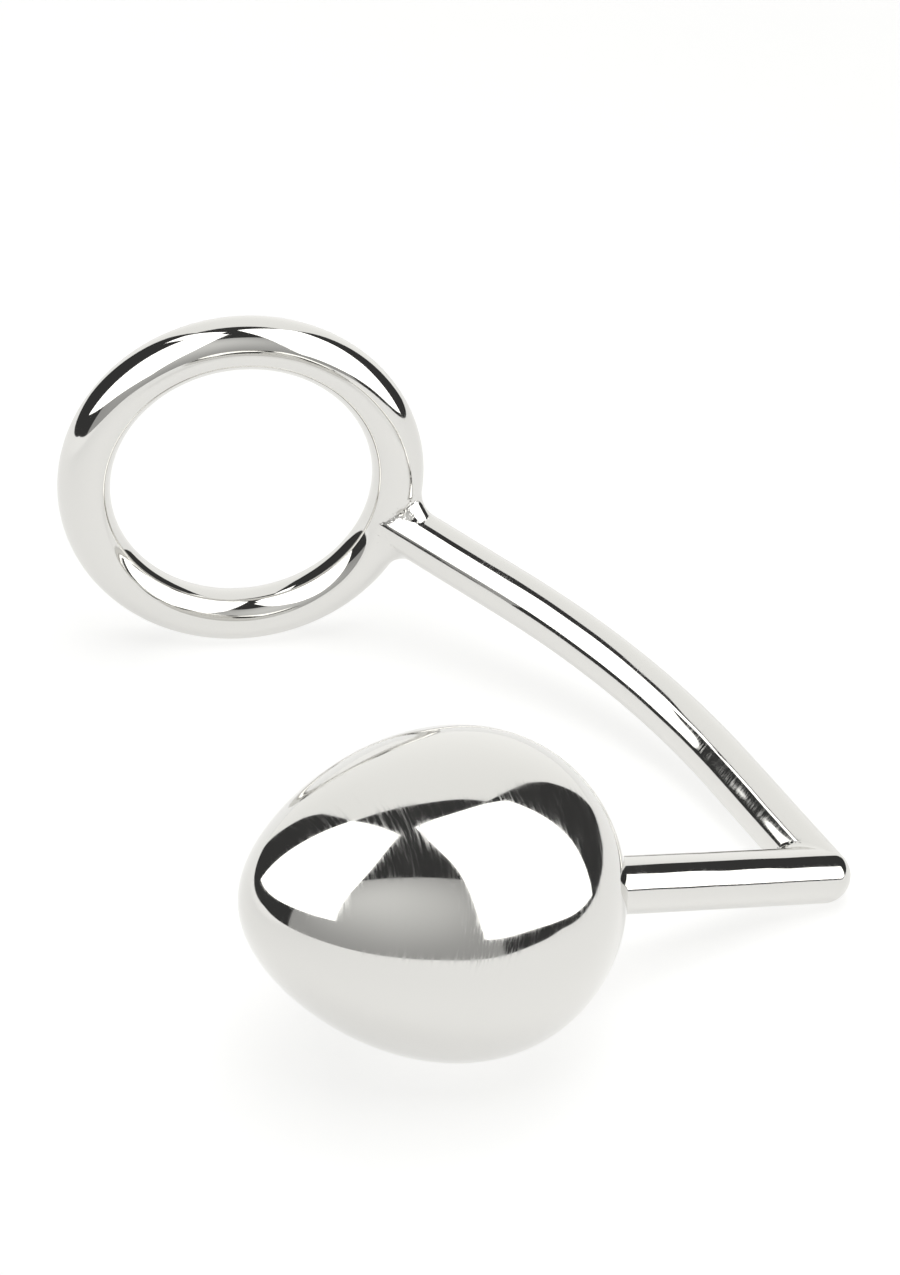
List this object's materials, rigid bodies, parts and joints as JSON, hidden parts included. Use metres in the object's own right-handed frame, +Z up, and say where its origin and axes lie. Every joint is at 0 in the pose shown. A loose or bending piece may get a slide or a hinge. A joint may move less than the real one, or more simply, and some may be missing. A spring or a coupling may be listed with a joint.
{
  "type": "ring and egg steel hook",
  "caption": "Polished steel ring welded to a curved bar and a sharp bend that carries an egg-shaped solid end; a rigid adult intimate item, not a nutcracker.",
  "frame": {"origin": "middle of the resting hook's box, on the table that the ring, the corner and the egg stand on", "axes": "+Z up from the table, +X from the ring towards the corner, +Y along the ring's axis away from the egg"},
  "size_m": [0.1066, 0.121, 0.056],
  "materials": {
    "polished_bar": "mirror-polished stainless steel round bar",
    "polished_egg": "mirror-polished stainless steel with fine polishing hairlines along the egg",
    "dressed_weld": "weld ground to a smooth blend and polished, with small pits"
  },
  "bodies": {
    "root": {"ring": "polished_bar", "curved_bar": "polished_bar", "straight_bar": "polished_bar", "egg": "polished_egg", "ring_weld": "dressed_weld", "corner_weld": "dressed_weld", "egg_weld": "dressed_weld"}
  },
  "joints": []
}
